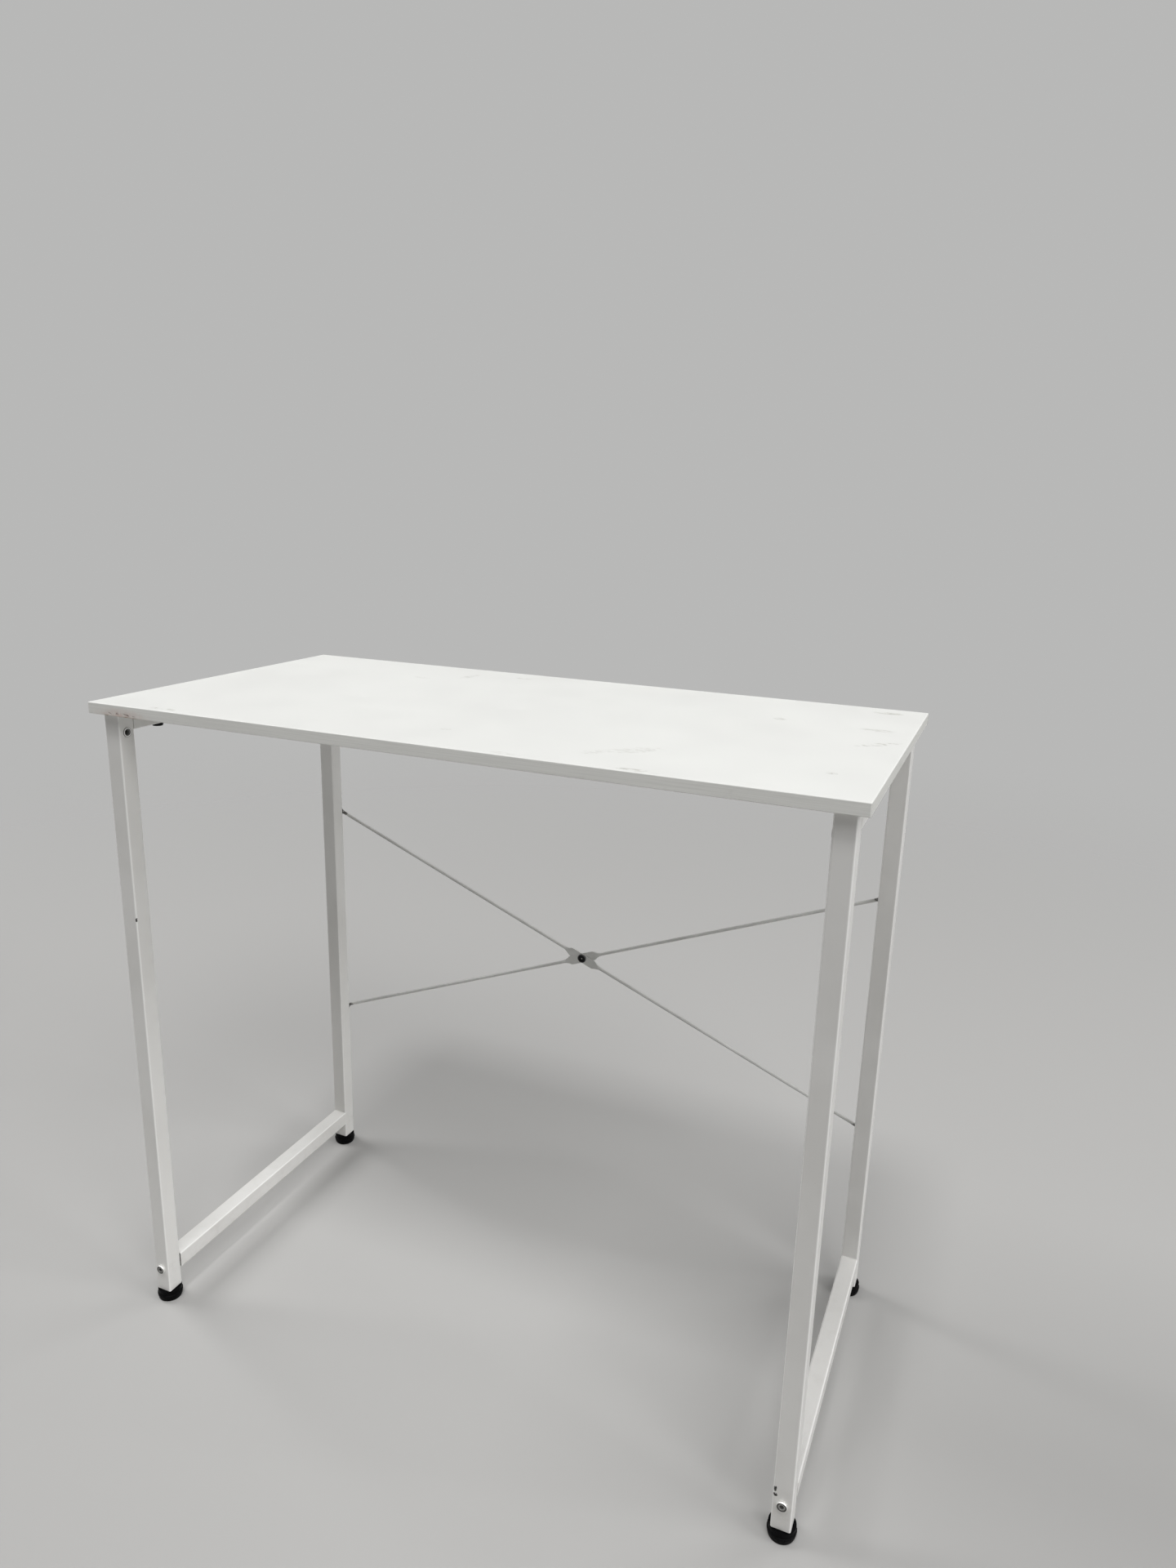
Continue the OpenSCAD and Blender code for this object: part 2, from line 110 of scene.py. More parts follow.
class Shader:
    """One material's node tree, with short ways to add nodes and join them."""

    def __init__(self, name):
        self.material = bpy.data.materials.new(name)
        self.material.use_nodes = True
        self.tree = self.material.node_tree
        self.surface = self.tree.nodes["Principled BSDF"]
        self.out = self.tree.nodes["Material Output"]
        coordinates = self.node("ShaderNodeTexCoord").outputs
        self.place = coordinates["Object"]
        self.normal = coordinates["Normal"]

    def node(self, kind, **settings):
        """Adds a node with the given settings."""
        made = self.tree.nodes.new(kind)
        for name, value in settings.items():
            setattr(made, name, value)
        return made

    def join(self, source, target):
        """Joins an output to an input, or sets the input to a plain value."""
        if isinstance(source, bpy.types.NodeSocket):
            self.tree.links.new(source, target)
        else:
            target.default_value = source

    def math(self, operation, a, b=0.0):
        """One step of arithmetic on outputs or plain numbers."""
        made = self.node("ShaderNodeMath", operation=operation)
        self.join(a, made.inputs[0])
        self.join(b, made.inputs[1])
        return made.outputs[0]

    def axes(self, vector):
        """The X, Y and Z of a vector, by name."""
        made = self.node("ShaderNodeSeparateXYZ")
        self.join(vector, made.inputs[0])
        return made.outputs

    def length(self, vector):
        """How long a vector is."""
        made = self.node("ShaderNodeVectorMath", operation="LENGTH")
        self.join(vector, made.inputs[0])
        return made.outputs["Value"]

    def mapped(self, kind, **settings):
        """The object's own coordinates, moved, turned and scaled as the Mapping node does."""
        made = self.node("ShaderNodeMapping", vector_type=kind)
        self.join(self.place, made.inputs["Vector"])
        for name, value in settings.items():
            made.inputs[name].default_value = value
        return made.outputs[0]

    def noise(self, noise):
        """A noise texture as the given Noise says."""
        made = self.node("ShaderNodeTexNoise")
        place = self.mapped("POINT", Scale=noise.stretch, Location=noise.shift)
        self.join(place, made.inputs["Vector"])
        made.inputs["Scale"].default_value = noise.scale
        made.inputs["Detail"].default_value = noise.detail
        made.inputs["Roughness"].default_value = noise.roughness
        return made.outputs["Fac"]

    def pattern(self, pattern):
        """A noise texture, remapped as the given Pattern says."""
        return self.remap(self.noise(pattern.noise), *pattern[1:])

    def remap(self, value, low, high, new_low=0.0, new_high=1.0):
        """Turns low to new_low and high to new_high, smoothly, and stays there beyond them."""
        made = self.node("ShaderNodeMapRange", interpolation_type="SMOOTHSTEP")
        self.join(value, made.inputs["Value"])
        names = ("From Min", "From Max", "To Min", "To Max")
        for name, number in zip(names, (low, high, new_low, new_high)):
            made.inputs[name].default_value = number
        return made.outputs["Result"]

    def mix(self, share, a, b):
        """Colour a where share is 0, colour b where it is 1."""
        made = self.node("ShaderNodeMix", data_type="RGBA")
        self.join(share, made.inputs["Factor"])
        for colour, name in ((a, "A"), (b, "B")):
            target = next(s for s in made.inputs if s.name == name and s.type == "RGBA")
            self.join((*colour, 1.0) if isinstance(colour, tuple) else colour, target)
        return next(s for s in made.outputs if s.type == "RGBA")

    def distance(self, centre, reach, turn=(0, 0, 0)):
        """0 at a point, 1 on an ellipsoid of the given half sizes around it."""
        return self.length(self.mapped("TEXTURE", Location=centre, Rotation=turn, Scale=reach))

    def blob(self, centre, reach, turn=(0, 0, 0)):
        """1 at a point, falling to 0 at an ellipsoid of the given half sizes around it."""
        return self.remap(self.distance(centre, reach, turn), 0.0, 1.0, 1.0, 0.0)

    def nearest(self, centres, reach):
        """The distance, as above, to the nearest of several points."""
        near = self.distance(centres[0], reach)
        for centre in centres[1:]:
            near = self.math("MINIMUM", near, self.distance(centre, reach))
        return near

    def rings(self, colour, near, bands, blur):
        """Paints bands, each inside its radius, from the outermost to the innermost."""
        for radius, band in bands:
            inside = self.remap(near, radius - blur, radius + blur, 1.0, 0.0)
            colour = self.mix(inside, colour, band)
        return colour

    def rounded_corners(self):
        """1 on the round between two square faces, 0 on the faces."""
        parts = self.axes(self.normal)
        main = 0.0
        for axis in "XYZ":
            main = self.math("MAXIMUM", main, self.math("ABSOLUTE", parts[axis]))
        return self.remap(main, *CORNER_NORMALS, 1.0, 0.0)

    def near_floor(self, reach):
        """1 on the floor, falling to 0 at the given height above it."""
        return self.remap(self.axes(self.place)["Z"], 0.0, reach, 1.0, 0.0)

    def bump(self, height, depth):
        """Chains a bump of the given depth in metres onto the surface."""
        made = self.node("ShaderNodeBump")
        made.inputs["Distance"].default_value = depth
        self.join(height, made.inputs["Height"])
        normal = self.surface.inputs["Normal"]
        if normal.links:
            self.join(normal.links[0].from_socket, made.inputs["Normal"])
        self.join(made.outputs[0], normal)

    def finish(self, colour, roughness, metallic=0.0, gloss=0.5):
        """Sets the surface itself, and gives the material back."""
        colour = (*colour, 1.0) if isinstance(colour, tuple) else colour
        self.join(colour, self.surface.inputs["Base Color"])
        self.join(roughness, self.surface.inputs["Roughness"])
        self.surface.inputs["Metallic"].default_value = metallic
        self.surface.inputs["Specular IOR Level"].default_value = gloss
        return self.material


# ---- Finishes ----
# Colours are linear, sizes and depths are in metres, and an EDGE is the range over which a mark
# goes from none to full.

WHITE_PAINT = (0.82, 0.812, 0.79)
PAINT_SHADE = (0.76, 0.75, 0.725)
PAINT_CLOUDS = Pattern(Noise(9.0, 3.0), 0.35, 0.7)
# Painted highlight: a lighter white for the tube's rounded corners, where they catch the light
CORNER_HIGHLIGHT = (0.95, 0.945, 0.925)
PAINT_ROUGHNESS = Pattern(Noise(24.0, 3.0), 0.3, 0.7, 0.33, 0.47)
# How much smoother the paint is on the tube's rounded corners
CORNER_POLISH = 0.1
ORANGE_PEEL = Noise(380.0, 2.0, 0.45)
ORANGE_PEEL_DEPTH = 0.00006
PAINT_GRAIN = Noise(1600.0, 1.0)
PAINT_GRAIN_DEPTH = 0.00001
# Dust, and also the colour of the painted shade round the bolts
PAINT_DUST_AND_SHADE = (0.50, 0.47, 0.43)
LEG_DUST = Pattern(Noise(70.0, 4.0, 0.65), 0.45, 0.8, 0.0, 0.35)
LEG_DUST_HEIGHT = 0.09
SPECKS = Pattern(Noise(310.0), 0.79, 0.83, 0.0, 0.5)
CHIPPED = (0.015, 0.012, 0.011)
CHIP_TORN = Pattern(Noise(750.0, 3.0, 0.7), 0.34, 0.6, 0.35, 1.5)
CHIP_EDGE = (0.28, 0.42)
# Paint chips on the front legs: side, (out from the inner edge, up from the floor), half size
PAINT_CHIPS = (
    (-1, (-0.0006, 0.4990), (0.0026, 0.0023)),
    (-1, (0.0006, 0.4975), (0.0019, 0.0040)),
    (1, (0.0021, 0.0605), (0.0023, 0.0050)),
    (1, (0.0028, 0.0535), (0.0034, 0.0029)),
)
# Painted shade round each frame bolt, a grey ring on the paint: how far it reaches, in head radii,
# and how strong it starts
BOLT_SHADE_REACH = 1.22
BOLT_SHADE_SHARE = 0.75


def powder_coat(name):
    """White powder coat on tube: faint orange peel, cloudy sheen, dust low down, a few specks, a
    painted highlight on the rounded corners, and painted shade round the bolts.
    """
    s = Shader(name)
    colour = s.mix(s.pattern(PAINT_CLOUDS), WHITE_PAINT, PAINT_SHADE)
    dust = s.math("MULTIPLY", s.near_floor(LEG_DUST_HEIGHT), s.pattern(LEG_DUST))
    colour = s.mix(dust, colour, PAINT_DUST_AND_SHADE)
    corners = s.rounded_corners()
    # Painted highlight on the rounded corners
    colour = s.mix(corners, colour, CORNER_HIGHLIGHT)
    colour = s.mix(s.pattern(SPECKS), colour, PAINT_DUST_AND_SHADE)
    colour = s.mix(paint_chips(s), colour, CHIPPED)
    # Painted shade: a grey ring round each bolt's head
    colour = s.mix(bolt_shade_ring(s), colour, PAINT_DUST_AND_SHADE)
    s.bump(s.noise(ORANGE_PEEL), ORANGE_PEEL_DEPTH)
    s.bump(s.noise(PAINT_GRAIN), PAINT_GRAIN_DEPTH)
    polish = s.math("MULTIPLY", corners, CORNER_POLISH)
    return s.finish(colour, s.math("SUBTRACT", s.pattern(PAINT_ROUGHNESS), polish))


def paint_chips(s):
    """How far the paint is gone, 0 to 1, in ragged spots on the front legs."""
    leg_low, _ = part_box("leg_front_right")
    chipped = 0.0
    for side, (out, z), (half_x, half_z) in PAINT_CHIPS:
        place = (side * (leg_low.x + out), leg_low.y, z)
        chipped = s.math("MAXIMUM", chipped, s.blob(place, (half_x, half_x, half_z)))
    return s.remap(s.math("MULTIPLY", chipped, s.pattern(CHIP_TORN)), *CHIP_EDGE)


def bolt_shade_ring(s):
    """How far the paint is painted grey round the frame bolts' heads, as painted shade where each
    head meets the leg.
    """
    centres, radius = bolt_heads()
    near = s.nearest(centres, (radius, radius, radius))
    return s.remap(near, 1.0, BOLT_SHADE_REACH, BOLT_SHADE_SHARE, 0.0)


# The rods' white paint: the frame's white, painted darker as painted shade, since the rods stand
# under the board
SHADED_BRACE_PAINT = (0.72, 0.72, 0.70)
SHADED_BRACE_TONE = (0.63, 0.63, 0.61)
BRACE_CLOUDS = Pattern(Noise(30.0, 3.0), 0.35, 0.7)
BRACE_ROUGHNESS = Pattern(Noise(60.0, 3.0), 0.3, 0.7, 0.36, 0.5)
BRACE_GRAIN = Noise(500.0)
BRACE_GRAIN_DEPTH = 0.00004
# Near-black for a patch at each rod's flat end, where it meets the rear leg's inner edge
BRACE_END_DARK = (0.09, 0.085, 0.08)
BRACE_BROKEN = Pattern(Noise(420.0, 3.0, 0.6), 0.3, 0.5)
# The dark patch on a rod's flat end, just past the leg's inner edge: its half sizes, and its place,
# in from the leg's inner face and from the level of the end screw's middle towards the crossing
END_PATCH = (0.009, 0.016, 0.009)
END_PATCH_EDGE = (0.1, 0.5)
END_PATCH_IN = 0.002
END_PATCH_RISE = 0.001
# The radius of the end screws' heads, to a tenth of a millimetre
END_HEAD_RADIUS = 0.0058


def brace_coat(name):
    """The rods' white coat, painted darker than the frame's as painted shade, and darkened at each
    rod's flat end past the leg.
    """
    s = Shader(name)
    # Painted shade: the rods' white is darker than the frame's
    colour = s.mix(s.pattern(BRACE_CLOUDS), SHADED_BRACE_PAINT, SHADED_BRACE_TONE)
    # A near-black patch at each rod's flat end, broken up by noise
    marked = 0.0
    for end in rod_ends():
        marked = s.math("ADD", marked, s.remap(s.blob(end, END_PATCH), *END_PATCH_EDGE))
    bare = s.math("MULTIPLY", marked, s.pattern(BRACE_BROKEN))
    colour = s.mix(bare, colour, BRACE_END_DARK)
    s.bump(s.noise(BRACE_GRAIN), BRACE_GRAIN_DEPTH)
    return s.finish(colour, s.pattern(BRACE_ROUGHNESS))


def rod_ends():
    """Where the rods come out past the rear legs' inner faces."""
    low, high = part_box("brace_end_screws")
    leg_low, leg_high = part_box("leg_rear_right")
    y = leg_high.y + END_HEAD_RADIUS / 3
    return [
        (side * (leg_low.x - END_PATCH_IN), y, z)
        for side in (-1, 1)
        for z in (low.z + END_HEAD_RADIUS + END_PATCH_RISE, high.z - END_HEAD_RADIUS - END_PATCH_RISE)
    ]


MELAMINE = (0.875, 0.88, 0.85)
MELAMINE_SHADE = (0.85, 0.853, 0.825)
MELAMINE_CLOUDS = Pattern(Noise(5.0), 0.3, 0.7)
MELAMINE_ROUGHNESS = Pattern(Noise(18.0, 4.0, 0.6), 0.3, 0.7, 0.38, 0.5)
MELAMINE_GRAIN = Noise(900.0)
MELAMINE_GRAIN_DEPTH = 0.00003
SCUFF = (0.52, 0.515, 0.47)
SCUFF_EDGE = (0.0, 0.5)
SCUFF_STREAKS = Pattern(Noise(260.0, 4.0, 0.7, stretch=(0.4, 1, 1)), 0.44, 0.62)
# How much duller the facing is where it is scuffed
SCUFF_DULLING = 0.15
# A faint wiped haze between the scuffs
HAZE = Pattern(Noise(46.0, 5.0, 0.7, stretch=(0.25, 1, 1), shift=(3, 1, 0)), 0.66, 0.84, 0.0, 0.22)
# Faint rub marks on the board: place from its middle, half sizes, turn in degrees, strength
SCUFFS = (
    ((0.361, 0.174), (0.022, 0.009), 0, 0.9),
    ((0.363, 0.076), (0.024, 0.008), 0, 0.6),
    ((0.374, 0.010), (0.034, 0.007), 40, 0.8),
    ((0.262, 0.084), (0.011, 0.006), -20, 0.9),
    ((0.177, -0.127), (0.042, 0.014), 41, 0.4),
    ((0.149, -0.149), (0.018, 0.010), 45, 0.4),
    ((0.208, -0.193), (0.034, 0.006), 0, 0.7),
    ((0.355, -0.123), (0.007, 0.005), 0, 0.9),
    ((-0.013, -0.132), (0.009, 0.005), 0, 0.5),
    ((-0.308, -0.191), (0.026, 0.006), 0, 0.6),
    ((-0.187, 0.110), (0.016, 0.006), 0, 0.5),
    ((-0.141, 0.146), (0.026, 0.008), 80, 0.5),
    ((-0.076, 0.168), (0.016, 0.006), 0, 0.5),
    ((0.077, -0.193), (0.022, 0.006), 0, 0.4),
)
CHIPBOARD = (0.66, 0.50, 0.37)
CHIPBOARD_DARK = (0.34, 0.20, 0.12)
CHIPBOARD_CHIPS = Pattern(Noise(700.0, 3.0, 0.7), 0.42, 0.62)
CHIPBOARD_GRAIN = Noise(650.0, 3.0, 0.7)
CHIPBOARD_GRAIN_DEPTH = 0.0002
# How far a normal points up or down: on the sawn edges, and on the faced sides
FACED_NORMALS = (0.4, 0.6)


def melamine_board(name):
    """White facing above and below, bare particle board on the sawn edges under the strips."""
    s = Shader(name)
    white = s.mix(s.pattern(MELAMINE_CLOUDS), MELAMINE, MELAMINE_SHADE)
    marked = scuffs(s)
    white = s.mix(marked, white, SCUFF)
    chips = s.mix(s.pattern(CHIPBOARD_CHIPS), CHIPBOARD, CHIPBOARD_DARK)
    faced = s.remap(s.math("ABSOLUTE", s.axes(s.normal)["Z"]), *FACED_NORMALS)
    colour = s.mix(faced, chips, white)
    s.bump(s.noise(MELAMINE_GRAIN), MELAMINE_GRAIN_DEPTH)
    sawn = s.math("SUBTRACT", 1.0, faced)
    s.bump(s.math("MULTIPLY", s.noise(CHIPBOARD_GRAIN), sawn), CHIPBOARD_GRAIN_DEPTH)
    dull = s.math("MULTIPLY", marked, SCUFF_DULLING)
    return s.finish(colour, s.math("ADD", s.pattern(MELAMINE_ROUGHNESS), dull))


def scuffs(s):
    """How far the facing is rubbed: streaky marks, and the haze between them."""
    marked = 0.0
    for (x, y), (half_x, half_y), turn, strength in SCUFFS:
        turned = (0.0, 0.0, math.radians(turn))
        spot = s.blob((x, y, BOARD_HIGH.z), (half_x, half_y, half_y), turned)
        mark = s.math("MULTIPLY", s.remap(spot, *SCUFF_EDGE), strength)
        marked = s.math("MAXIMUM", marked, mark)
    streaky = s.math("MULTIPLY", marked, s.pattern(SCUFF_STREAKS))
    return s.math("ADD", streaky, s.pattern(HAZE))


BAND_WHITE = (0.87, 0.87, 0.835)
BAND_STREAK = (0.80, 0.80, 0.765)
# The side strips' white and streak, painted greyer than the long strips' as painted shade
SHADED_SHORT_BAND_WHITE = (0.78, 0.78, 0.745)
SHADED_SHORT_BAND_STREAK = (0.70, 0.70, 0.665)
# How far the streaks are drawn out along a strip: their scale there, against 1 across it
BAND_STRETCH = 0.012
BAND_NOISE = Noise(900.0, 3.0, 0.6)
BAND_STREAK_EDGE = (0.35, 0.68)
BAND_GRAIN_DEPTH = 0.00005
BAND_ROUGHNESS = Pattern(Noise(40.0, 3.0), 0.3, 0.7, 0.42, 0.56)
GRIME = (0.60, 0.58, 0.54)
GRIME_PATCHES = Pattern(Noise(60.0, 4.0, 0.7), 0.58, 0.8, 0.0, 0.3)
# Painted highlight: a brighter band along the strips' upper edge
EDGE_HIGHLIGHT = (0.93, 0.93, 0.90)
EDGE_HIGHLIGHT_HEIGHT = 0.0009
# The knocked stretch of the front strip, from the board's left end
CHIPS_FROM = 0.020
CHIPS_TO = 0.068
STAIN = (0.69, 0.575, 0.525)
STAIN_PATCHES = Pattern(Noise(160.0, 4.0, 0.6), 0.3, 0.6, 0.3, 1.0)
# How far the stain reaches behind the strip's face and above its lower edge
STAIN_DEPTH = 0.02
STAIN_HEIGHT = 0.012
GOUGE = (0.13, 0.08, 0.06)
GOUGE_TORN = Pattern(Noise(500.0, 4.0, 0.75, stretch=(0.45, 1, 1)), 0.35, 0.6, 0.3, 1.1)
GOUGE_EDGE = (0.0, 0.8)
GOUGE_DEPTH = 0.0003
# How far behind the strip's face a gouge's mark reaches
GOUGE_REACH = 0.002
# Gouges: place from the strip's left end and lower edge, half size, tilt and strength
GOUGES = (
    ((0.0300, 0.0026), (0.0050, 0.0010), 24.0, 0.55),
    ((0.0388, 0.0034), (0.0026, 0.0012), -40.0, 0.7),
    ((0.0402, 0.0030), (0.0024, 0.0011), 35.0, 0.6),
    ((0.0500, 0.0034), (0.0062, 0.0010), 10.0, 0.6),
    ((0.0532, 0.0027), (0.0042, 0.0012), 14.0, 1.0),
    ((0.0616, 0.0022), (0.0040, 0.0013), 8.0, 0.4),
)


def edge_strip(name, along, white, streak):
    """Plastic edge strip, finely streaked along X (0) or Y (1); along X it has the front's knocks."""
    s = Shader(name)
    stretch = tuple(BAND_STRETCH if axis == along else 1 for axis in range(3))
    streaks = s.noise(BAND_NOISE._replace(stretch=stretch))
    colour = s.mix(s.remap(streaks, *BAND_STREAK_EDGE), white, streak)
    colour = s.mix(s.pattern(GRIME_PATCHES), colour, GRIME)
    if along == 0:
        colour = knocked_stretch(s, colour)
    # Painted highlight along each strip's upper edge
    highlight_z = FRONT_BAND_HIGH.z - EDGE_HIGHLIGHT_HEIGHT
    blur = EDGE_HIGHLIGHT_HEIGHT / 4
    highlighted = s.remap(s.axes(s.place)["Z"], highlight_z - blur, highlight_z + blur)
    colour = s.mix(highlighted, colour, EDGE_HIGHLIGHT)
    s.bump(streaks, BAND_GRAIN_DEPTH)
    return s.finish(colour, s.pattern(BAND_ROUGHNESS))


def knocked_stretch(s, colour):
    """Stains the front strip's knocked stretch, and gouges it in colour and bump."""
    middle = BOARD_CORNER_X + (CHIPS_FROM + CHIPS_TO) / 2
    centre = (middle, FRONT_BAND_LOW.y, FRONT_BAND_LOW.z)
    near = s.blob(centre, (CHIPS_TO - CHIPS_FROM, STAIN_DEPTH, STAIN_HEIGHT))
    colour = s.mix(s.math("MULTIPLY", near, s.pattern(STAIN_PATCHES)), colour, STAIN)
    gouged = 0.0
    for (x, z), (half_x, half_z), tilt, strength in GOUGES:
        place = (BOARD_CORNER_X + x, FRONT_BAND_LOW.y, FRONT_BAND_LOW.z + z)
        scratch = s.blob(place, (half_x, GOUGE_REACH, half_z), (0.0, math.radians(tilt), 0.0))
        gouged = s.math("MAXIMUM", gouged, s.math("MULTIPLY", scratch, strength))
    ragged = s.math("MULTIPLY", gouged, s.pattern(GOUGE_TORN))
    s.bump(s.math("SUBTRACT", 1.0, ragged), GOUGE_DEPTH)
    return s.mix(s.remap(ragged, *GOUGE_EDGE), colour, GOUGE)


ZINC = (0.46, 0.46, 0.45)
ZINC_BLOOM = (0.38, 0.375, 0.365)
# Painted highlight: near-white for the bolts' flanks and the inserts' lip and thread wall
ZINC_HIGHLIGHT = (0.95, 0.95, 0.93)
ZINC_DISH = (0.40, 0.40, 0.39)
# Painted reflection and shade: near-black for the bolts' chamfers and sockets
ZINC_REFLECTION_AND_SHADE = (0.09, 0.087, 0.082)
ZINC_CLOUDS = Pattern(Noise(260.0, 3.0, 0.55), 0.35, 0.7)
ZINC_ROUGHNESS = Pattern(Noise(900.0, 3.0, 0.6), 0.3, 0.7, 0.36, 0.5)
ZINC_GRAIN = Noise(1500.0)
ZINC_GRAIN_DEPTH = 0.00002
THREAD_SHADE = (0.012, 0.012, 0.012)
# Bands on a head, or round a mouth, run in along its axis this many times their radius
BAND_DEPTH = 8
# Bands on a frame bolt's head, and their blur, as shares of its radius: a painted highlight on the
# flank, a painted dark reflection on the chamfer, the face's tone, and painted shade in the socket
HEAD_BANDS = ((1.2, ZINC_HIGHLIGHT), (0.88, ZINC_REFLECTION_AND_SHADE), (0.64, ZINC_DISH), (0.38, ZINC_REFLECTION_AND_SHADE))
HEAD_BLUR = 0.04
# Bands round an open insert's mouth, in metres: a painted highlight on the lip, painted shade on the
# bevel, then a painted highlight on the thread's wall
INSERT_BANDS = ((0.0044, ZINC_HIGHLIGHT), (0.0038, THREAD_SHADE), (0.00312, ZINC_HIGHLIGHT))
INSERT_BLUR = 0.00004
# Painted shade deep in an insert's thread: how far in its middle lies, and its half sizes
BORE_SHADE_IN = 0.0128
BORE_SHADE_REACH = (0.01024, 0.0064, 0.0064)
BORE_SHADE_EDGE = (0.0, 0.08)


def bolt_heads():
    """Centres of the frame bolts' faces, and the heads' radius."""
    centres = []
    for node, end in (("lower_frame_bolts", "front"), ("upper_frame_bolts", "rear")):
        low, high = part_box(node)
        face_y = low.y if end == "front" else high.y
        for side in ("left", "right"):
            leg_low, leg_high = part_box(f"leg_{end}_{side}")
            centres.append(((leg_low.x + leg_high.x) / 2, face_y, (low.z + high.z) / 2))
    return centres, (high.z - low.z) / 2


def insert_mouths():
    """Centres of the open inserts' mouths, on the legs' inner faces, and the way in."""
    left_low, left_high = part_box("accessory_insert_left")
    right_low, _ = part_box("accessory_insert_right")
    middle = (left_low + left_high) / 2
    return [((left_high.x, middle.y, middle.z), -1), ((right_low.x, middle.y, middle.z), 1)]


def zinc_plate(name):
    """Zinc plate: cloudy bloom, painted highlights on bolt flanks and insert mouths, painted dark
    reflection and shade in the heads' rings, painted shade deep in the threads.
    """
    s = Shader(name)
    colour = s.mix(s.pattern(ZINC_CLOUDS), ZINC, ZINC_BLOOM)
    centres, radius = bolt_heads()
    near_bolt = s.nearest(centres, (radius, BAND_DEPTH * radius, radius))
    # Painted highlight, dark reflection and shade in rings on each frame bolt's head
    colour = s.rings(colour, near_bolt, HEAD_BANDS, HEAD_BLUR)
    mouths = insert_mouths()
    near_mouth = s.nearest([mouth for mouth, _ in mouths], (BAND_DEPTH, 1, 1))
    # Painted highlight and shade in rings round each insert's mouth
    colour = s.rings(colour, near_mouth, INSERT_BANDS, INSERT_BLUR)
    for (x, y, z), inward in mouths:
        # Painted shade deep in each insert's bore
        bore_shade = s.blob((x + inward * BORE_SHADE_IN, y, z), BORE_SHADE_REACH)
        colour = s.mix(s.remap(bore_shade, *BORE_SHADE_EDGE), colour, THREAD_SHADE)
    s.bump(s.noise(ZINC_GRAIN), ZINC_GRAIN_DEPTH)
    return s.finish(colour, s.pattern(ZINC_ROUGHNESS), metallic=1.0)


BLACK_COAT = (0.005, 0.005, 0.006)
BLACK_RUBBED = (0.03, 0.03, 0.03)
# Painted highlight: a lit grey for the centre bolt's flank
BLACK_FLANK_HIGHLIGHT = (0.13, 0.13, 0.13)
BLACK_HIGHLIGHT_BANDS = ((1.1, BLACK_FLANK_HIGHLIGHT), (0.86, BLACK_COAT))
BLACK_WORN = Pattern(Noise(600.0, 4.0, 0.65), 0.58, 0.78, 0.0, 0.7)
BLACK_ROUGHNESS = Pattern(Noise(500.0, 3.0), 0.3, 0.7, 0.28, 0.42)
BLACK_GRAIN = Noise(1200.0)
BLACK_GRAIN_DEPTH = 0.00004
BLACK_GLOSS = 0.15
# Painted glint: a pale grey spot in the centre bolt's socket
SOCKET_GLINT = (0.62, 0.61, 0.58)
SOCKET_GLINT_REACH = (0.0019, 0.0038, 0.0019)
SOCKET_GLINT_EDGE = (0.1, 0.5)


def black_coated(name):
    """Black-coated steel, rubbed greyer in patches, with a painted highlight on the centre bolt's
    flank and a painted glint in its socket.
    """
    s = Shader(name)
    colour = s.mix(s.pattern(BLACK_WORN), BLACK_COAT, BLACK_RUBBED)
    bolt_low, bolt_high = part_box("brace_centre_bolt")
    middle = (bolt_low + bolt_high) / 2
    face = (middle.x, bolt_low.y, middle.z)
    radius = (bolt_high.z - bolt_low.z) / 2
    near = s.distance(face, (radius, BAND_DEPTH * radius, radius))
    # Painted highlight round the centre bolt's flank
    colour = s.rings(colour, near, BLACK_HIGHLIGHT_BANDS, HEAD_BLUR)
    # Painted glint in the centre bolt's socket
    glint_mask = s.remap(s.blob(face, SOCKET_GLINT_REACH), *SOCKET_GLINT_EDGE)
    colour = s.mix(glint_mask, colour, SOCKET_GLINT)
    s.bump(s.noise(BLACK_GRAIN), BLACK_GRAIN_DEPTH)
    return s.finish(colour, s.pattern(BLACK_ROUGHNESS), gloss=BLACK_GLOSS)


PLASTIC = (0.002, 0.002, 0.0024)
PLASTIC_PALE = (0.0045, 0.0045, 0.005)
PLASTIC_MOTTLE = Noise(300.0, 3.0)
PLASTIC_ROUGHNESS = Pattern(Noise(420.0, 3.0), 0.3, 0.7, 0.34, 0.5)
PLASTIC_GRAIN = Noise(1700.0, 2.0, 0.6)
PLASTIC_GRAIN_DEPTH = 0.00006
PLASTIC_GLOSS = 0.04
PLASTIC_DUST = (0.04, 0.037, 0.033)
PAD_DUST = Pattern(Noise(260.0, 4.0, 0.7), 0.5, 0.75, 0.0, 0.35)
PAD_DUST_HEIGHT = 0.006


def black_moulded(name):
    """Black moulded plastic: fine spark grain, dust where it meets the floor."""
    s = Shader(name)
    colour = s.mix(s.noise(PLASTIC_MOTTLE), PLASTIC, PLASTIC_PALE)
    dust = s.math("MULTIPLY", s.near_floor(PAD_DUST_HEIGHT), s.pattern(PAD_DUST))
    colour = s.mix(dust, colour, PLASTIC_DUST)
    s.bump(s.noise(PLASTIC_GRAIN), PLASTIC_GRAIN_DEPTH)
    return s.finish(colour, s.pattern(PLASTIC_ROUGHNESS), gloss=PLASTIC_GLOSS)


FINISHES = {
    "melamine": melamine_board("white_melamine_board"),
    "edge_band": edge_strip("edge_strip_long", 0, BAND_WHITE, BAND_STREAK),
    "frame_paint": powder_coat("white_powder_coat"),
    "brace_paint": brace_coat("brace_rod_coat_shaded"),
    "zinc": zinc_plate("bright_zinc"),
    "black_screw": black_coated("black_coated_steel"),
    "black_plastic": black_moulded("black_moulded_plastic"),
}
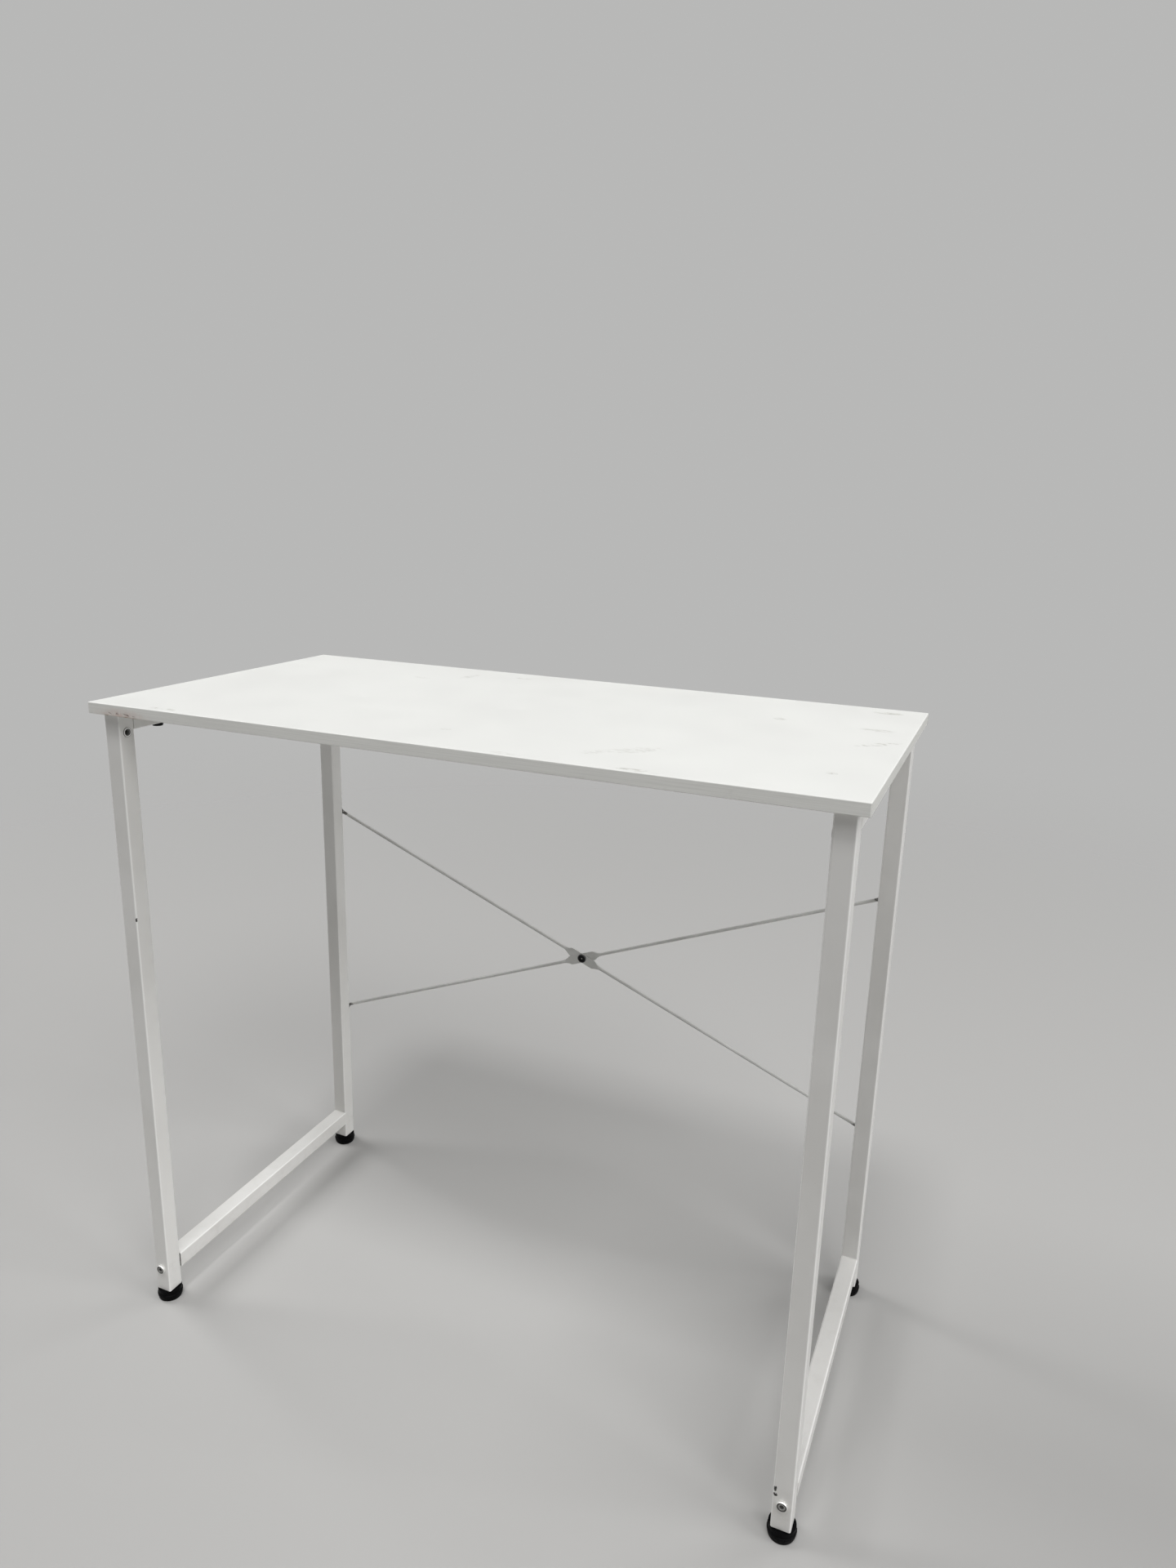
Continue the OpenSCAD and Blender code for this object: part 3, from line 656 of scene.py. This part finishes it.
# The side strips' own finish: streaked along Y, and greyer than the long strips as painted shade
SHADED_SHORT_STRIP = edge_strip("edge_strip_short_shaded", 1, SHADED_SHORT_BAND_WHITE, SHADED_SHORT_BAND_STREAK)


def dress_nodes():
    """Gives each CAD node the finish of its material slot."""
    for part in frame["record"]["subparts"]:
        node = frame["nodes"][part["node"]]
        for held in node.material_slots:
            held.material = FINISHES[part["material_slot"]]


# ---- Mesh pieces ----


def scene_object(name, data):
    """Puts a mesh, a lamp or a camera into the scene."""
    made = bpy.data.objects.new(name, data)
    bpy.context.scene.collection.objects.link(made)
    return made


def mesh_piece(name, rings, finish, body="desk", smooth=False):
    """Skins rings of points into one closed piece with flat ends, which rides on a body."""
    bm = bmesh.new()
    rows = [[bm.verts.new(point) for point in ring] for ring in rings]
    count = len(rows[0])
    for a, b in zip(rows, rows[1:]):
        for k in range(count):
            n = (k + 1) % count
            bm.faces.new((a[k], a[n], b[n], b[k]))
    bm.faces.new(rows[0])
    bm.faces.new(list(reversed(rows[-1])))
    bmesh.ops.recalc_face_normals(bm, faces=bm.faces)
    mesh = bpy.data.meshes.new(name)
    bm.to_mesh(mesh)
    bm.free()
    for polygon in mesh.polygons:
        polygon.use_smooth = smooth
    mesh.materials.append(finish)
    piece = scene_object(name, mesh)
    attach(piece, body)
    return piece


STRIP_ROUNDING = 0.0008
STRIP_ARC_STEPS = 4


def rounding():
    """Quarter round from 0 to 1: (how far along, how far still drawn in) at each step."""
    for i in range(STRIP_ARC_STEPS + 1):
        angle = math.pi / 2 * i / STRIP_ARC_STEPS
        yield 1.0 - math.cos(angle), 1.0 - math.sin(angle)


def strip_section(inner, outer, low_z, high_z):
    """Cross-section of an edge strip as (depth, z) points: both outer edges are rounded."""
    towards = 1.0 if outer > inner else -1.0
    section = [(inner, low_z)]
    for z, edge_sign in ((low_z, 1.0), (high_z, -1.0)):
        arc = [
            (outer - towards * STRIP_ROUNDING * drawn_in, z + edge_sign * STRIP_ROUNDING * along)
            for along, drawn_in in rounding()
        ]
        section += arc if edge_sign > 0 else arc[::-1]
    section.append((inner, high_z))
    return section


BITE_STEPS = 40
BITE_RISE = 0.0011
BITE_SEED = 7
# Waves that add up to the bites: height, radians along the whole stretch, and start
BITE_WAVES = ((1.0, 9.0, 1.2), (0.7, 23.0, 0.0))
# Each step's bite is cut down to a random share of its wave
BITE_SHARE = (0.4, 1.0)


def bite_depths(from_x, to_x):
    """Places along a knocked stretch of edge, and how far up the strip is chipped there.

    The edge stays whole where the waves are below 0, and an arch fades both ends.
    """
    draw = random.Random(BITE_SEED)
    bites = []
    for i in range(BITE_STEPS + 1):
        share = i / BITE_STEPS
        arch = math.sin(math.pi * share) ** 0.5
        wave = sum(high * math.sin(turn * share + start) for high, turn, start in BITE_WAVES)
        rise = BITE_RISE * arch * max(0.0, wave) * draw.uniform(*BITE_SHARE)
        bites.append((from_x + (to_x - from_x) * share, rise))
    return bites


def strip_stations(low, high, end_round, bites):
    """Where a strip's rings stand: place along it, how far bitten up, how far drawn in."""
    start = [(low + end_round * step, 0.0, end_round * drawn) for step, drawn in rounding()]
    end = [(high - end_round * step, 0.0, end_round * drawn) for step, drawn in rounding()]
    if not end_round:
        return [start[0], end[0]]
    middle = [(place, bite, 0.0) for place, bite in bites]
    return [*start, *middle, *reversed(end)]


def edge_strip_piece(name, node, along, bites=()):
    """An edge strip with rounded outer edges, lofted along X (0) or Y (1), chipped at the bites.

    The long strips run to the board's corners, so their ends are drawn in to a round there.
    """
    low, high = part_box(node)
    across = 1 - along
    outer_is_low = low[across] + high[across] < 0.0
    inner, outer = (high[across], low[across]) if outer_is_low else (low[across], high[across])
    end_round = STRIP_ROUNDING if along == 0 else 0.0
    rings = []
    for place, bite, drawn in strip_stations(low[along], high[along], end_round, bites):
        face = outer + drawn if outer_is_low else outer - drawn
        section = strip_section(inner, face, low.z + bite, high.z)
        rings.append([
            (place, depth, z) if along == 0 else (depth, place, z) for depth, z in section
        ])
    finish = FINISHES["edge_band"] if along == 0 else SHADED_SHORT_STRIP
    strip = mesh_piece(name, rings, finish)
    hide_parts(node)


def edge_strips():
    """All four strips; the front one has bites knocked out of its lower edge near its left end."""
    chips = bite_depths(BOARD_CORNER_X + CHIPS_FROM, BOARD_CORNER_X + CHIPS_TO)
    edge_strip_piece("strip_front", "edge_band_front", 0, chips)
    edge_strip_piece("strip_rear", "edge_band_rear", 0)
    edge_strip_piece("strip_left", "edge_band_left", 1)
    edge_strip_piece("strip_right", "edge_band_right", 1)


WELD_RADIUS = 0.0006
WELD_SIDES = 10
# A weld's ripples: their length, the rings in each, and how far they swell the bead
WELD_WAVE = 0.0024
WELD_RINGS = 5
WELD_SWELL = 0.05
# How small a bead's tips are, as a share of its radius, and how blunt: a higher power is blunter
WELD_TIP = 0.12
WELD_BLUNTNESS = 8
# How far a bead stops short of the rail's edges
WELD_INSET = 0.002


def weld_bead(name, start, end):
    """A painted-over weld: a low wavy bead from start to end."""
    start, end = Vector(start), Vector(end)
    length = (end - start).length
    steps = round(length / WELD_WAVE * WELD_RINGS)
    turn = (end - start).normalized().to_track_quat("Z", "Y").to_matrix()
    angles = [2 * math.pi * k / WELD_SIDES for k in range(WELD_SIDES)]
    spokes = [turn @ Vector((math.cos(angle), math.sin(angle), 0.0)) for angle in angles]
    rings = []
    for i in range(steps + 1):
        share = i / steps
        end_round = math.sqrt(max(0.0, 1.0 - (2 * share - 1) ** WELD_BLUNTNESS))
        swell = 1.0 + WELD_SWELL * math.sin(2 * math.pi * share * length / WELD_WAVE)
        size = WELD_RADIUS * swell * max(WELD_TIP, end_round)
        centre = start.lerp(end, share)
        rings.append([centre + spoke * size for spoke in spokes])
    mesh_piece(name, rings, FINISHES["frame_paint"], smooth=True)


def welds():
    """Beads under each upper rail's front end, and over and under each lower rail's rear end."""
    for side in ("left", "right"):
        upper_low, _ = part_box(f"upper_rail_{side}")
        lower_low, lower_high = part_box(f"lower_rail_{side}")
        corners = (
            (f"weld_upper_{side}", upper_low.y, upper_low.z),
            (f"weld_lower_{side}_bottom", lower_high.y, lower_low.z),
            (f"weld_lower_{side}_top", lower_high.y, lower_high.z),
        )
        from_x, to_x = lower_low.x + WELD_INSET, lower_high.x - WELD_INSET
        for name, y, z in corners:
            weld_bead(name, (from_x, y, z), (to_x, y, z))


# ---- Floor, light and camera ----

BACKDROP = (0.48, 0.48, 0.475)
FLOOR_COLOUR = (0.49, 0.485, 0.475)
FLOOR_ROUGHNESS = 0.75
# The floor's half size, and where its fade into the backdrop starts and ends
FLOOR_REACH = 12.0
FADE_FROM = 1.0
FADE_TO = 3.4


def floor():
    """Plain pale floor that fades into the backdrop."""
    bm = bmesh.new()
    bmesh.ops.create_grid(bm, x_segments=2, y_segments=2, size=FLOOR_REACH)
    mesh = bpy.data.meshes.new("floor")
    bm.to_mesh(mesh)
    bm.free()
    plane = scene_object("floor", mesh)
    s = Shader("pale_floor")
    s.finish(FLOOR_COLOUR, FLOOR_ROUGHNESS)
    blend = s.node("ShaderNodeMixShader")
    s.join(s.remap(s.length(s.place), FADE_FROM, FADE_TO), blend.inputs[0])
    s.join(s.surface.outputs[0], blend.inputs[1])
    s.join(s.node("ShaderNodeBsdfTransparent").outputs[0], blend.inputs[2])
    s.join(blend.outputs[0], s.out.inputs["Surface"])
    mesh.materials.append(s.material)


# Strength of the light from all round
AMBIENT = 0.10


def world():
    """Soft ambient light; the camera, gloss and glass see a plain pale backdrop."""
    made = bpy.data.worlds.new("studio")
    made.use_nodes = True
    bpy.context.scene.world = made
    nodes, links = made.node_tree.nodes, made.node_tree.links
    light = nodes["Background"]
    light.inputs["Color"].default_value = (1.0, 1.0, 1.0, 1.0)
    light.inputs["Strength"].default_value = AMBIENT
    shown = nodes.new("ShaderNodeBackground")
    shown.inputs["Color"].default_value = (*BACKDROP, 1.0)
    shown.inputs["Strength"].default_value = 1.0
    path = nodes.new("ShaderNodeLightPath")
    seen = path.outputs["Is Camera Ray"]
    for other in ("Is Glossy Ray", "Is Transmission Ray"):
        either = nodes.new("ShaderNodeMath")
        either.operation = "MAXIMUM"
        links.new(seen, either.inputs[0])
        links.new(path.outputs[other], either.inputs[1])
        seen = either.outputs[0]
    blend = nodes.new("ShaderNodeMixShader")
    links.new(seen, blend.inputs[0])
    links.new(light.outputs[0], blend.inputs[1])
    links.new(shown.outputs[0], blend.inputs[2])
    links.new(blend.outputs[0], nodes["World Output"].inputs["Surface"])


# Soft boxes: azimuth from the front towards the right and elevation in degrees, width in
# metres, power in watts
LAMPS = (
    ("front", 0, 70, 1.4, 200.0),
    ("front_right", 45, 50, 3.75, 224.0),
    ("right", 90, 25, 3.75, 262.0),
    ("rear_right", 140, 40, 3.75, 110.0),
    ("left", 270, 45, 3.75, 326.0),
)
LAMP_DISTANCE = 9.0


def soft_boxes():
    """Square area lamps round the desk, all aimed at its middle."""
    aim = (CAD_LOW + CAD_HIGH) / 2
    for name, azimuth, elevation, width, power in LAMPS:
        turn, rise = math.radians(azimuth), math.radians(elevation)
        away = Vector((
            math.sin(turn) * math.cos(rise),
            -math.cos(turn) * math.cos(rise),
            math.sin(rise),
        ))
        data = bpy.data.lights.new(f"lamp_{name}", "AREA")
        data.shape = "SQUARE"
        data.size = width
        data.energy = power
        lamp = scene_object(f"lamp_{name}", data)
        lamp.location = aim + away * LAMP_DISTANCE
        lamp.rotation_mode = "QUATERNION"
        lamp.rotation_quaternion = away.to_track_quat("Z", "Y")
        lamp.visible_camera = False


# The photographer's camera: metres, then millimetres, then degrees. Heading turns left from +Y,
# pitch up from level, and roll leans the frame.
CAMERA_PLACE = (0.5011, -1.0033, 0.9599)
CAMERA_LENS = 24.5
CAMERA_SENSOR = 36.0
CAMERA_HEADING = 22.67
CAMERA_PITCH = -15.12
CAMERA_ROLL = 1.53


def camera():
    """The photographer's place: standing at the right front corner, looking down and left."""
    data = bpy.data.cameras.new("camera")
    data.lens = CAMERA_LENS
    data.sensor_width = CAMERA_SENSOR
    made = scene_object("camera", data)
    made.location = CAMERA_PLACE
    turn = Matrix.Rotation(math.radians(CAMERA_HEADING), 3, "Z")
    tilt = Matrix.Rotation(math.radians(90 + CAMERA_PITCH), 3, "X")
    lean = Matrix.Rotation(math.radians(CAMERA_ROLL), 3, "Z")
    made.rotation_euler = (turn @ tilt @ lean).to_euler()
    bpy.context.scene.camera = made


dress_nodes()
edge_strips()
welds()
floor()
world()
soft_boxes()
camera()

bpy.context.scene.view_settings.view_transform = "Standard"
